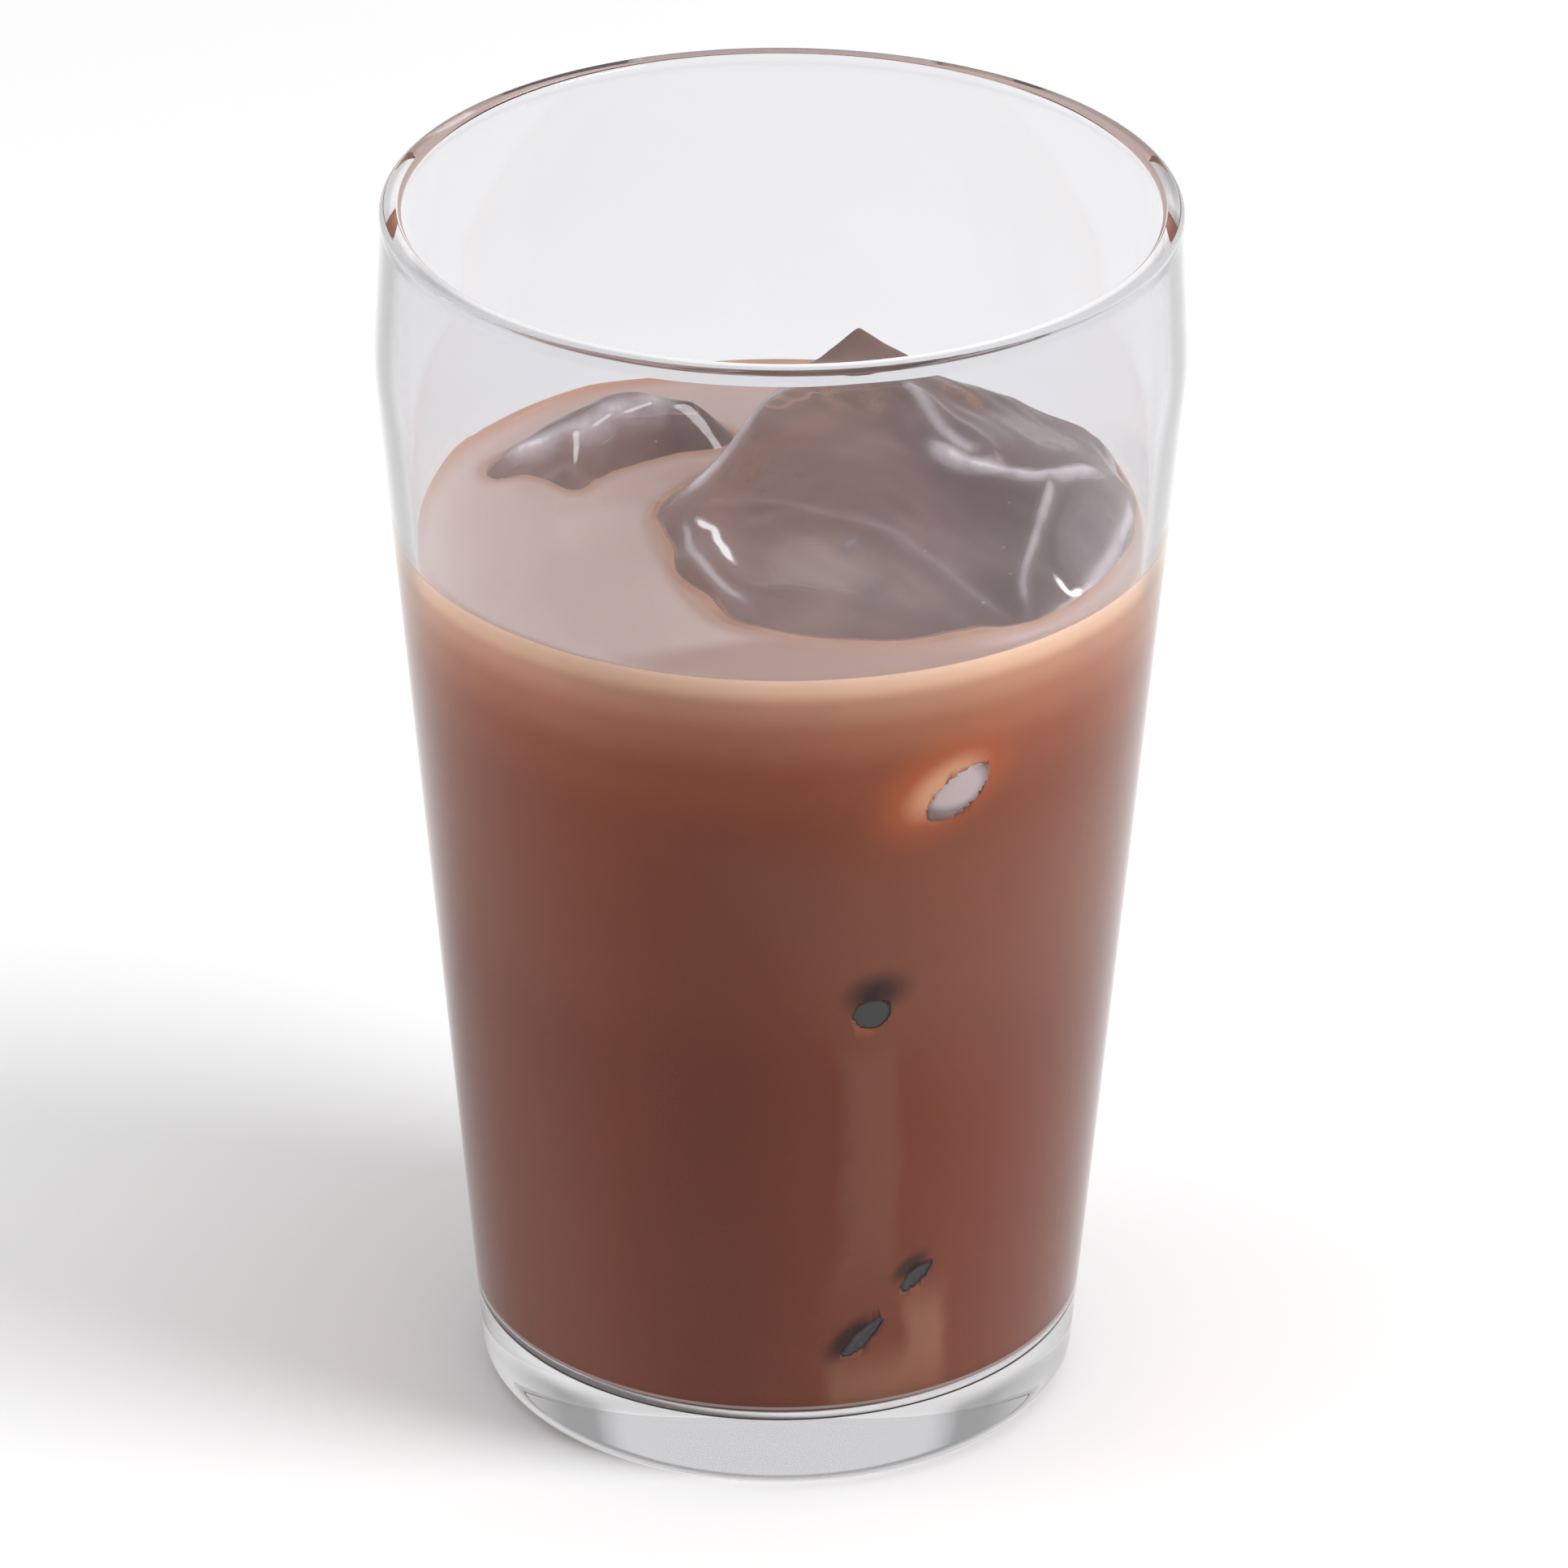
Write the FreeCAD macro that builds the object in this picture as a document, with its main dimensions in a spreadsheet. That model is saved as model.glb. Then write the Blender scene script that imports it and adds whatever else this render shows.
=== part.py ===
"""Iced chocolate drink in a clear conical tumbler, with two lumps of ice standing out of it.

Origin at the middle of the tumbler's foot, +Z up, millimetres. The tumbler and the drink are turned
about the Z axis. Each lump of ice is a block cut by flat facets, melted round at its edges.
"""
import FreeCAD, Part
import math
import os

from FreeCAD import Vector
from Sketcher import Constraint

# Driving sizes, in mm and degrees. Each one has a cell of its own in the sheet.
GLASS_SIZES = {
    "glass_height": 120.0,  # foot to rim
    "base_radius": 28.2,  # where the conical side would meet the table
    "shoulder_radius": 37.6,  # widest place, before it is rounded over
    "rim_band": 14.8,  # height of the band above the shoulder
    "rim_inset": 0.8,  # how far that band leans in
    "shoulder_rounding": 25.0,
    "upper_wall": 1.85,
    "lower_wall": 2.3,
    "floor_height": 6.8,  # top of the thick glass base
    "floor_rounding": 4.0,
    "corner_rounding": 2.6,
    "rim_rounding": 0.8,
    "foot_radius": 21.0,  # outside of the hollow under the base
    "foot_hollow": 0.8,
}
DRINK_SIZES = {
    "headspace": 31.0,  # rim down to the drink
    "ice_clearance": 0.5,  # ice to glass
}
LUMP_SIZES = {
    "large": {"aside": 10.0, "back": -4.0, "block": 120.0, "melt": 1.2},
    "back": {"aside": -17.0, "back": 12.0, "block": 120.0, "melt": 0.8},
}
# A facet faces the azimuth "turn", leans "tilt" from level, and lies "reach" from the lump's middle.
LUMP_FACETS = {
    "large": {
        "front": {"turn": 270.0, "tilt": 16.0, "reach": 6.9},
        "brow": {"turn": 265.0, "tilt": 66.0, "reach": 22.0},
        "cheek": {"turn": 323.0, "tilt": 24.0, "reach": 8.2},
        "crown": {"turn": 15.0, "tilt": 25.0, "reach": 11.0},
        "tail": {"turn": 90.0, "tilt": 64.0, "reach": 20.0},
        "flank": {"turn": 143.0, "tilt": 60.0, "reach": 16.4},
        "nose": {"turn": 206.0, "tilt": 55.0, "reach": 17.6},
        "keel": {"turn": 0.0, "tilt": 176.0, "reach": 27.0},
        "hull_left": {"turn": 152.0, "tilt": 102.0, "reach": 18.8},
        "hull_front": {"turn": 240.0, "tilt": 104.0, "reach": 23.0},
        "hull_right": {"turn": 325.0, "tilt": 106.0, "reach": 21.0},
        "hull_back": {"turn": 60.0, "tilt": 102.0, "reach": 22.0},
    },
    "back": {
        "top": {"turn": 130.0, "tilt": 14.0, "reach": 3.6},
        "face": {"turn": 302.0, "tilt": 56.0, "reach": 3.8},
        "rear": {"turn": 122.0, "tilt": 72.0, "reach": 7.5},
        "tip": {"turn": 232.0, "tilt": 64.0, "reach": 9.4},
        "tail": {"turn": 172.0, "tilt": 66.0, "reach": 10.6},
        "root": {"turn": 35.0, "tilt": 70.0, "reach": 13.0},
        "heel": {"turn": 350.0, "tilt": 70.0, "reach": 8.0},
        "keel": {"turn": 0.0, "tilt": 172.0, "reach": 17.0},
        "hull_face": {"turn": 302.0, "tilt": 102.0, "reach": 4.8},
        "hull_tip": {"turn": 215.0, "tilt": 108.0, "reach": 13.0},
    },
}

# Heights and radii that follow from the driving sizes.
SHOULDER_HEIGHT = "(sizes.glass_height - sizes.rim_band)"
SLOPE = "((sizes.shoulder_radius - sizes.base_radius) / %s)" % SHOULDER_HEIGHT
RIM_RADIUS = "(sizes.shoulder_radius - sizes.rim_inset)"
FLOOR_RADIUS = "(sizes.base_radius + %s * sizes.floor_height - sizes.lower_wall)" % SLOPE
DRINK_LEVEL = "(sizes.glass_height - sizes.headspace)"
RIM_ROUND = "min(sizes.rim_rounding; 0.45 * sizes.upper_wall)"

INNER_SHOULDER_ROUND = "sizes.shoulder_rounding - sizes.upper_wall"

# How an outline names places on the sketch's own axes, and the ends of what it joins.
ON_AXIS = "0"
NO_GAP = "0.0"
V_AXIS = -2
H_AXIS = -1
ORIGIN = (-1, 1)
ARC_CENTRE = 3


def fill_sheet(doc):
    """Writes every driving size into the sheet as a plain number with an alias."""
    sheet = doc.addObject("Spreadsheet::Sheet", "sizes")
    cells = {}
    cells.update(GLASS_SIZES)
    cells.update(DRINK_SIZES)
    for lump, values in LUMP_SIZES.items():
        cells.update({"%s_ice_%s" % (lump, key): value for key, value in values.items()})
    for lump, facets in LUMP_FACETS.items():
        for facet, values in facets.items():
            cells.update({"%s_%s_%s" % (lump, facet, key): value for key, value in values.items()})
    for row, (alias, value) in enumerate(cells.items(), start=1):
        sheet.set("A%d" % row, alias)
        sheet.set("B%d" % row, str(value))
        sheet.setAlias("B%d" % row, alias)
    doc.recompute()
    return sheet


def plane_of(body, role):
    """One of a body's own origin planes or axes."""
    return [item for item in body.Origin.OriginFeatures if item.Role == role][0]


def bind(sketch, kind, *ends, expression):
    """Adds one dimension to a sketch and ties it to an expression."""
    value = float(sketch.evalExpression(expression))
    index = sketch.addConstraint(Constraint(kind, *ends, value))
    sketch.setExpression("Constraints[%d]" % index, expression)


def pin_corner(sketch, item, end, radius, height):
    """Holds a point at a radius and a height, or on the axis itself where one of them is zero."""
    for kind, axis, expression in (("DistanceX", V_AXIS, radius), ("DistanceY", H_AXIS, height)):
        if expression == ON_AXIS:
            sketch.addConstraint(Constraint("PointOnObject", item, end, axis))
        else:
            bind(sketch, kind, *ORIGIN, item, end, expression=expression)


def dished_side(rim, crown):
    """An arc about a point on the axis, from the rim of a shallow dish up to its crown."""
    rise = crown.y - rim.y
    radius = (rim.x ** 2 + rise ** 2) / (2 * rise)
    centre = Vector(0, crown.y - radius, 0)
    start = Vector(1, 0, 0).getAngle(rim.sub(centre))
    return Part.ArcOfCircle(Part.Circle(centre, Vector(0, 0, 1), radius), start, math.pi / 2)


def turned_body(doc, name, outline, dished=False):
    """A body turned about the Z axis from a closed outline.

    The outline lists its corners as expressions: a radius, a height and, for a corner that is
    rounded, the rounding. With dished set, the first side is an arc about a point on the axis.
    """
    body = doc.addObject("PartDesign::Body", name)
    sketch = body.newObject("Sketcher::SketchObject", name + "_outline")
    sketch.AttachmentSupport = (plane_of(body, "XZ_Plane"), [""])
    sketch.MapMode = "FlatFace"
    places = [[float(sketch.evalExpression(part)) for part in corner[:2]] for corner in outline]
    corners = [Vector(radius, height, 0) for radius, height in places]
    count = len(corners)
    for side in range(count):
        here = corners[side]
        there = corners[(side + 1) % count]
        if dished and side == 0:
            sketch.addGeometry(dished_side(there, here))
        else:
            sketch.addGeometry(Part.LineSegment(here, there))
    # A dished side runs from the rim to the crown, so its two ends are the other way round.
    starts = [2 if dished and side == 0 else 1 for side in range(count)]
    for side in range(count):
        after = (side + 1) % count
        sketch.addConstraint(Constraint("Coincident", side, 3 - starts[side], after, starts[after]))
    if dished:
        sketch.addConstraint(Constraint("PointOnObject", 0, ARC_CENTRE, V_AXIS))
    rounded = {}
    for side, corner in enumerate(outline):
        if len(corner) == 3:
            rounded[side] = sketch.GeometryCount
            sketch.fillet(side, 1, float(sketch.evalExpression(corner[2])), True, True)
    for side, corner in enumerate(outline):
        if side in rounded:
            arc = rounded[side]
            bind(sketch, "Radius", arc, expression=corner[2])
            pin_corner(sketch, arc + 1, 1, *corner[:2])
        else:
            pin_corner(sketch, side, starts[side], *corner)
    turning = body.newObject("PartDesign::Revolution", name + "_turned")
    turning.Profile = sketch
    turning.ReferenceAxis = (sketch, ["V_Axis"])
    turning.Angle = 360
    body.Tip = turning
    return body


def inner_outline(gap, rim_round=None):
    """Corners of the space inside the glass, kept a gap away from its side, from the axis outwards."""
    rim = ("%s - sizes.upper_wall - %s" % (RIM_RADIUS, gap), "sizes.glass_height")
    return [
        (ON_AXIS, "sizes.floor_height + %s" % gap),
        ("%s - %s" % (FLOOR_RADIUS, gap), "sizes.floor_height + %s" % gap, "sizes.floor_rounding"),
        ("sizes.shoulder_radius - sizes.upper_wall - %s" % gap, SHOULDER_HEIGHT, INNER_SHOULDER_ROUND),
        rim + ((rim_round,) if rim_round else ()),
    ]


def make_glass(doc):
    """The tumbler: thick base, conical side, shoulder and a rounded rim, all one piece."""
    outside = [
        (ON_AXIS, "sizes.foot_hollow"),
        ("sizes.foot_radius", ON_AXIS),
        ("sizes.base_radius", ON_AXIS, "sizes.corner_rounding"),
        ("sizes.shoulder_radius", SHOULDER_HEIGHT, "sizes.shoulder_rounding"),
        (RIM_RADIUS, "sizes.glass_height", RIM_ROUND),
    ]
    inside = inner_outline(NO_GAP, RIM_ROUND)
    return turned_body(doc, "glass", outside + inside[::-1], dished=True)


def make_room(doc, name, gap):
    """The space inside the glass up to the rim, kept a gap away from the floor and side."""
    closing = (ON_AXIS, "sizes.glass_height")
    return turned_body(doc, name, inner_outline(gap) + [closing])


def facet_block(doc, lump, facet):
    """A large box whose top face lies in one facet of a lump, with the lump on its inner side."""
    size = "sizes.%s_ice_block" % lump
    prefix = "sizes.%s_%s" % (lump, facet)
    box = doc.addObject("Part::Box", "%s_%s" % (lump, facet))
    for side in ("Length", "Width", "Height"):
        box.setExpression(side, size)
    middle = "vector(sizes.%s_ice_aside; sizes.%s_ice_back; %s)" % (lump, lump, DRINK_LEVEL)
    turned = "rotationz(%s_turn) * rotationy(%s_tilt)" % (prefix, prefix)
    corner = "vector(-%s / 2; -%s / 2; %s_reach - %s)" % (size, size, prefix, size)
    box.setExpression(
        "Placement",
        "placement(%s; %s) * placement(%s; rotationz(0))" % (middle, turned, corner),
    )
    return box


def make_lump(doc, name, lump, room):
    """A lump of ice: what its facets enclose, rounded at every edge and kept inside the glass."""
    cut = doc.addObject("Part::MultiCommon", name + "_cut")
    cut.Shapes = [facet_block(doc, lump, facet) for facet in LUMP_FACETS[lump]]
    doc.recompute()
    melt = float(cut.evalExpression("sizes.%s_ice_melt" % lump))
    rounded = doc.addObject("Part::Fillet", name + "_rounded")
    rounded.Base = cut
    rounded.Edges = [(number, melt, melt) for number in range(1, len(cut.Shape.Edges) + 1)]
    kept = doc.addObject("Part::Common", name)
    kept.Base = rounded
    kept.Tool = room
    return kept


def make_drink(doc, room, lumps):
    """The drink: the inside of the glass up to its level, less the ice that floats in it."""
    level = doc.addObject("Part::Cylinder", "level")
    level.setExpression("Radius", "2 * sizes.shoulder_radius")
    level.setExpression("Height", DRINK_LEVEL)
    filled = doc.addObject("Part::Common", "filled")
    filled.Base = room
    filled.Tool = level
    before = filled
    for index, lump in enumerate(lumps, start=1):
        less = doc.addObject("Part::Cut", "less_ice_%d" % index)
        less.Base = before
        less.Tool = lump
        before = less
    before.Label = "drink"
    return before


def check(doc, parts):
    """Stops if any object failed to build or any sub-part is not one sound solid."""
    for item in doc.Objects:
        if "Invalid" in item.State or "Error" in item.State:
            raise RuntimeError("%s did not build: %s" % (item.Label, item.State))
    for item in parts:
        shape = item.Shape
        if shape.isNull() or not shape.isValid() or len(shape.Solids) != 1:
            raise RuntimeError("%s is not one sound solid" % item.Label)


def write(parts):
    """Writes each sub-part to its own STEP file."""
    os.makedirs("parts", exist_ok=True)
    for item in parts:
        item.Shape.Solids[0].exportStep("parts/%s.step" % item.Label)


def main():
    doc = FreeCAD.newDocument("iced_chocolate")
    fill_sheet(doc)
    glass = make_glass(doc)
    ice_room = make_room(doc, "ice_room", "sizes.ice_clearance")
    drink_room = make_room(doc, "drink_room", NO_GAP)
    large = make_lump(doc, "ice_large", "large", ice_room)
    back = make_lump(doc, "ice_back", "back", ice_room)
    drink = make_drink(doc, drink_room, [large, back])
    doc.recompute()
    parts = [glass, drink, large, back]
    check(doc, parts)
    write(parts)
    for item in parts:
        box = item.Shape.BoundBox
        print("%s: volume %.0f mm3, box %s" % (item.Label, item.Shape.Volume, box))


if __name__ == "__main__":
    main()
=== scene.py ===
"""Looks of an iced chocolate drink in a clear tumbler: glass, milky cocoa and melting ice.

Metres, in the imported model's own frame. The viewer stands at -Y, and +X is on the right.
"""
import math

import bmesh
import bpy
import numpy as np
from mathutils import Matrix, Vector
from mathutils.bvhtree import BVHTree


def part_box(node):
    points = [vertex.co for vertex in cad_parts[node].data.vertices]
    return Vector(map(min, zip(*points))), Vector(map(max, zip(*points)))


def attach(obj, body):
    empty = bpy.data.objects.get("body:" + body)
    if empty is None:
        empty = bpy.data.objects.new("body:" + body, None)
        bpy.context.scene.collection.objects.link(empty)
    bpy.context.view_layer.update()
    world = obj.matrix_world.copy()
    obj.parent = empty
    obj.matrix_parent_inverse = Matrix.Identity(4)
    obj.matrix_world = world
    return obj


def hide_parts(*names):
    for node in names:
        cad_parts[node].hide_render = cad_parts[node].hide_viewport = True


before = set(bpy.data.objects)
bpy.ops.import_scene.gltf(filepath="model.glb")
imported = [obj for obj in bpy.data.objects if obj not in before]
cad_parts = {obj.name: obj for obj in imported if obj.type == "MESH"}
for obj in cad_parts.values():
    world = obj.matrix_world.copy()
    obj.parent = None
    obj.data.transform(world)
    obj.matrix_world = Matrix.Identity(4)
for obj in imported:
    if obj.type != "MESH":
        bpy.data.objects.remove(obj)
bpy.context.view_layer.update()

MM = 0.001
BODY = "root"

# Heights that the frame gives.
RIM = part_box("glass")[1].z
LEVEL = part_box("drink")[1].z
FLOOR_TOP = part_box("drink")[0].z
SHOULDER_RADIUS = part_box("glass")[1].x

# The tumbler's wall, where the frame gives no corner for it.
BASE_RADIUS = 28.2 * MM
SHOULDER_CORNER = SHOULDER_RADIUS + 0.1 * MM
SHOULDER_HEIGHT = RIM - 14.8 * MM
RIM_INSET = 0.8 * MM
UPPER_WALL = 1.85 * MM
LOWER_WALL = 2.3 * MM
FOOT_RADIUS = 21.0 * MM
FOOT_HOLLOW = 0.8 * MM
SHOULDER_ROUND = 37.0 * MM
CORNER_ROUND = 2.6 * MM
FLOOR_ROUND = 4.0 * MM
UNDER_DRINK = -0.25 * MM  # the drink's bottom, from the glass floor's top
RIM_ROUND = 0.5 * MM
RIM_RISE = 0.25 * MM
BEAD = 0.1 * MM  # how far the rim's bead stands out of the wall on each side
BEAD_HEIGHT = 0.65 * MM
NECK_HEIGHT = 1.5 * MM  # where the bead starts, below the rim

CLIMB = 1.1 * MM  # how far the drink climbs the wall
ICE_CLIMB = 0.35 * MM  # and the ice
SURFACE = LEVEL - CLIMB - 0.15 * MM
INTO_WALL = 0.25 * MM
ICE_INTO_WALL = 0.45 * MM
CLIMB_REACH = 1.2 * MM  # how far from wall or ice the climb fades
CROWN_GAP = 0.12 * MM  # a crown stays this far inside the wall
HULL_DRAW = 0.8 * MM  # and the sunk part of its lump this much further, but for its noses
CUT_SHRINK = 0.12 * MM  # the room cut for ice is this much smaller than the ice
UNDER_FOOT = 0.05 * MM  # the floor lies this far below the tumbler's foot
SKY_LIGHT = 0.79
ROUND_STEPS = 512
DRINK_STEPS = 360
FLOOR_SPREAD = 3.0


# ---------------------------------------------------------------- shapes

def rounded_outline(corners, run=2.0 * MM, arc=math.radians(3)):
    """Points along an outline of (radius, height, rounding) corners, with arcs at the rounded ones."""
    points = [Vector(corner[:2]) for corner in corners]
    path = [points[0]]
    for index in range(1, len(points) - 1):
        here = points[index]
        back = (points[index - 1] - here).normalized()
        ahead = (points[index + 1] - here).normalized()
        rounding = corners[index][2]
        if rounding == 0:
            path.append(here)
            continue
        half = back.angle(ahead) / 2
        centre = here + (back + ahead).normalized() * rounding / math.sin(half)
        start = here + back * rounding / math.tan(half) - centre
        end = here + ahead * rounding / math.tan(half) - centre
        turn = start.angle(end)
        steps = max(4, round(turn / arc))
        for step in range(steps + 1):
            share = step / steps
            spoke = start * math.sin((1 - share) * turn) + end * math.sin(share * turn)
            path.append(centre + spoke / math.sin(turn))
    path.append(points[-1])
    fine = [path[0]]
    for here, there in zip(path, path[1:]):
        pieces = max(1, math.ceil((there - here).length / run))
        fine += [here.lerp(there, piece / pieces) for piece in range(1, pieces + 1)]
    return fine


def lathe(name, outline, steps=ROUND_STEPS):
    """A closed mesh turned about Z from outline points that start and end on the axis."""
    angles = np.arange(steps) * (2 * math.pi / steps)
    middle = outline[1:-1]
    verts = [(0.0, 0.0, outline[0].y), (0.0, 0.0, outline[-1].y)]
    for point in middle:
        verts += [(point.x * math.cos(a), point.x * math.sin(a), point.y) for a in angles]
    faces = []
    for ring in range(len(middle) - 1):
        low = 2 + ring * steps
        high = low + steps
        for step in range(steps):
            after = (step + 1) % steps
            faces.append((low + step, low + after, high + after, high + step))
    last = 2 + (len(middle) - 1) * steps
    for step in range(steps):
        after = (step + 1) % steps
        faces.append((0, 2 + after, 2 + step))
        faces.append((1, last + step, last + after))
    return solid(name, verts, faces)


def solid(name, verts, faces):
    """A closed piece whose faces all look outwards."""
    mesh = bpy.data.meshes.new(name)
    mesh.from_pydata(verts, [], faces)
    tidy = bmesh.new()
    tidy.from_mesh(mesh)
    bmesh.ops.recalc_face_normals(tidy, faces=tidy.faces)
    tidy.to_mesh(mesh)
    tidy.free()
    return show(name, mesh)


def show(name, mesh):
    """Links a mesh as a smooth-shaded object."""
    mesh.shade_smooth()
    piece = bpy.data.objects.new(name, mesh)
    bpy.context.scene.collection.objects.link(piece)
    return piece


def coords(piece):
    """The vertices of a piece as rows of numbers."""
    flat = np.empty(len(piece.data.vertices) * 3)
    piece.data.vertices.foreach_get("co", flat)
    return flat.reshape(-1, 3)


def set_coords(piece, places):
    piece.data.vertices.foreach_set("co", np.asarray(places).ravel())
    piece.data.update()


def wall_radius(height):
    """Radius of the conical inner wall at a height."""
    low = BASE_RADIUS - LOWER_WALL
    high = SHOULDER_CORNER - UPPER_WALL
    floor = low + (SHOULDER_CORNER - BASE_RADIUS) * FLOOR_TOP / SHOULDER_HEIGHT
    return floor + (high - floor) * (height - FLOOR_TOP) / (SHOULDER_HEIGHT - FLOOR_TOP)


def make_glass():
    """The tumbler: thick base, conical wall, shoulder and a rim melted into a slight bead."""
    rim = SHOULDER_CORNER - RIM_INSET
    inside = rim - UPPER_WALL
    top = RIM + RIM_RISE
    corners = [
        (0, FOOT_HOLLOW, 0),
        (FOOT_RADIUS, 0, 60 * MM),
        (BASE_RADIUS, 0, CORNER_ROUND),
        (SHOULDER_CORNER, SHOULDER_HEIGHT, SHOULDER_ROUND),
        (rim, top - NECK_HEIGHT, 0.6 * MM),
        (rim + BEAD, top - BEAD_HEIGHT, 0.3 * MM),
        (rim + BEAD, top, RIM_ROUND),
        (inside - BEAD, top, RIM_ROUND),
        (inside - BEAD, top - BEAD_HEIGHT, 0.3 * MM),
        (inside, top - NECK_HEIGHT, 0.6 * MM),
        (SHOULDER_CORNER - UPPER_WALL, SHOULDER_HEIGHT, SHOULDER_ROUND - UPPER_WALL),
        (wall_radius(FLOOR_TOP), FLOOR_TOP, FLOOR_ROUND),
        (0, FLOOR_TOP, 0),
    ]
    outline = rounded_outline(corners)
    glass = lathe("tumbler", outline)
    highest = max(range(len(outline)), key=lambda index: outline[index].y)
    rings = np.repeat(np.arange(1, len(outline) - 1), ROUND_STEPS)
    outer = glass.data.attributes.new("outer", "FLOAT", "POINT")
    outer.data.foreach_set("value", np.concatenate([[1.0, 0.0], (rings <= highest).astype(float)]))
    return glass


# Each lump below is in mm from the axis, with heights from the drink's surface.
# Its waterline runs round its middle. Its crown is drawn through spots of (x, y, height), and each
# ridge is a raised line of (height, width, places). Along its lights, of (strength, width, places),
# the ice's film carries painted highlights.
LARGE = {
    "middle": (11, -2),
    "waterline": (
        (-12.2, 0.8), (-10.8, -7), (-8.6, -14.7), (-5.3, -21.0), (-0.8, -23.6), (6.5, -25.5), (13.9, -25),
        (20.6, -22.2), (24.6, -19.3), (28.4, -13.8), (32.1, -6.6), (34.4, 1.3), (33.4, 9.0), (29.5, 16.0),
        (22.5, 21.0), (14, 23.6), (6, 23), (0, 19), (-5, 13.2), (-9.8, 7.0),
    ),
    "crown": (
        (-8.5, 2.8, 2.2), (-4.7, 6.2, 5.0), (-2.5, 9.1, 7.0), (-0.2, 11.1, 9.0), (1.7, 11.9, 9.6),
        (7.2, 15.2, 12.0), (4.0, 11.8, 9.9), (7.0, 11.4, 10.2), (10.4, 10.9, 10.0), (12.7, 7.8, 9.9),
        (14.2, 5.7, 9.5), (17.1, 2.3, 8.9), (19.3, -0.3, 7.9), (15, 13.6, 9.2), (17.5, 8, 8.9),
        (21.9, 13.2, 7.0), (21.6, 5, 7.9), (28.8, 12.6, 3.9), (29.3, 6, 5.0), (31.8, 10.6, 2.2),
        (26, 9, 6.1), (14.1, 1.3, 7.4), (17.9, -1.7, 6.7), (22.4, -2.6, 6.1), (25.4, -1.3, 5.4),
        (30.8, 2.3, 3.4), (32.9, 3.2, 2.0), (23.8, -7.7, 4.1), (22.6, -13.4, 2.7), (21.9, -19.0, 0.9),
        (2.8, -3.8, 6.0), (6, 5, 8.3), (10, -1, 7.0), (0, 4, 6.7), (12, -8, 4.8), (6.6, -13.5, 2.7),
        (14, -14.7, 2.8), (-4.6, -5.2, 2.6), (20, -7.4, 3.9), (3, -19, 1.7), (11, -20, 1.7),
        (-3.5, -12.5, 1.3), (18, -17, 1.6), (27.6, -6.6, 2.2), (28, -11, 1.2), (30.5, -3, 2.1),
        (-6.9, -3.2, 1.9), (-7.6, -9, 1.2), (7, 19.2, 6.5), (15, 18.3, 4.6), (0, 15.4, 5.4),
        (22, 17.2, 2.9), (-4, 10.6, 3.4),
    ),
    "ridges": (
        (0.75, 0.9,
         ((-10.2, 0.2), (-8.5, 2.8), (-4.7, 6.2), (-2.5, 9.1), (-0.2, 11.1), (2.6, 12.9), (7.2, 15.2))),
        (0.85, 0.8,
         ((3.6, 11.6), (7, 11.9), (10.4, 10.9), (12.7, 7.8), (14.2, 5.7), (17.1, 2.3), (19.6, -0.4))),
        (0.75, 1.0, ((13.9, 1.6), (17.9, -1.7), (22.4, -2.7), (25.4, -1.5), (30.8, 2.3), (33.2, 3.6))),
        (0.6, 0.7, ((25.0, -2.4), (23.8, -7.7), (22.6, -13.4), (22.0, -19.0))),
        (0.3, 0.7, ((-6.2, -1.8), (2.6, -7.6), (10.4, -11.2), (16.2, -16.6), (20.6, -21.4))),
        (0.35, 0.6, ((-6.8, -6.0), (-5.4, -11.4), (-1.6, -16.2), (3.6, -18.4))),
        (-0.5, 1.6, ((15.6, 3.0), (19.5, -1.4), (23.5, -0.6))),
        (0.4, 0.8, ((7.2, 15.2), (14, 14.2), (21.9, 13.2), (28.8, 11.6), (32.0, 8.6))),
    ),
    "lights": (
        (0.95, 1.0, ((-11.4, -1.2), (-8.6, 2.2), (-6.1, 4.6), (-4.6, 6.0), (-2.4, 8.9), (0, 10.6),
                     (3.6, 11.8), (6, 12))),
        (0.5, 0.9, ((0, 10.6), (3.6, 11.5), (7, 11.4), (10.4, 10.6), (12.2, 8.4), (13.4, 6.0))),
        (0.9, 0.75, ((10.6, 10.4), (12.2, 8.6), (13.6, 5.6), (15.3, 2.8), (17.2, 0.6), (20.5, -0.6))),
        (1.0, 1.1, ((12.6, 2.2), (14.4, 0.9), (16.7, -0.9), (19.5, -1.9), (22.8, -2.3), (25.7, -1.2),
                    (29.5, 1.5), (33, 2.4))),
        (0.9, 0.6,
         ((32.4, 3.4), (33.0, 0.9), (31.9, -3.2), (29.9, -8.8), (27.8, -13.6), (25.4, -17.6), (22.5, -20.5))),
        (0.7, 0.6, ((25.0, -1.4), (25.0, -3.6), (23.7, -8.2), (22.4, -13.3), (21.9, -17.0), (22.5, -21))),
        (2.0, 0.34, ((-8.2, -1.8), (-7.2, -3.8), (-6.2, -5.4), (-5.8, -7.4), (-5.0, -9.3), (-3.6, -12.4))),
        (0.9, 0.5, ((-9.4, -1.0), (-8.7, -4.0), (-8.2, -7.4), (-6.4, -11.8), (-4.3, -15.7), (-1.6, -19.6))),
        (0.4, 0.9, ((-5, -5.0), (-2.7, -6.2), (2.0, -7.2), (6.7, -8.5), (10.5, -11.1), (14.2, -14.5),
                    (18.4, -18.6), (21, -22))),
        (1.9, 0.3, ((24.6, -13.2), (25.7, -15.0), (26.4, -15.2), (27.4, -13.6))),
        (0.42, 3.4, ((15, 4.5), (20, 2.5), (24, 2), (28, 3.6), (32, 5))),
    ),
    "depth": 26.5,
    "swell": 0.10,
}
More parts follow.
